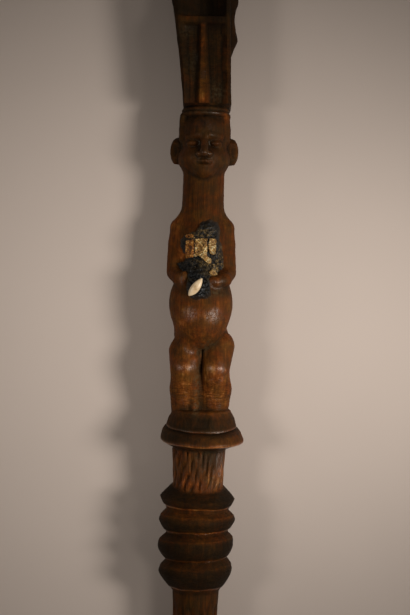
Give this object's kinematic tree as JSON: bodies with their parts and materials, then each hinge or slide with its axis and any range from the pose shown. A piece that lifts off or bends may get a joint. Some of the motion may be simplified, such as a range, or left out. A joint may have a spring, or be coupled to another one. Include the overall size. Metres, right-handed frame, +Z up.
{
  "type": "carved figural staff",
  "caption": "Long wooden ceremonial staff carved with a standing figure under a tapering block and an upper figure, beaded knop, and a resin charge with foil and shell.",
  "frame": {"origin": "bottom centre of the bounding box, on the surface that the staff lies on, half way along its length", "axes": "+Y along the staff from the plain tip to the carved end, +Z up out of the figures' faces, +X to the right of someone who looks down on the faces with the carved end at the top"},
  "size_m": [0.042, 0.86, 0.039],
  "materials": {
    "dark_wood": "hand-carved, darkened and worn to a satin polish",
    "resin": "lumpy dark tree resin with a dull sheen",
    "foil": "crazed and flaking gold-coloured sheet",
    "shell": "smooth off-white shell"
  },
  "bodies": {
    "root": {"wooden_staff": "dark_wood", "resin_charge": "resin", "foil_patch": "foil", "foil_patch_right": "foil", "foil_fragment_high": "foil", "foil_fragment_low": "foil", "shell_inlay": "shell"}
  },
  "joints": []
}
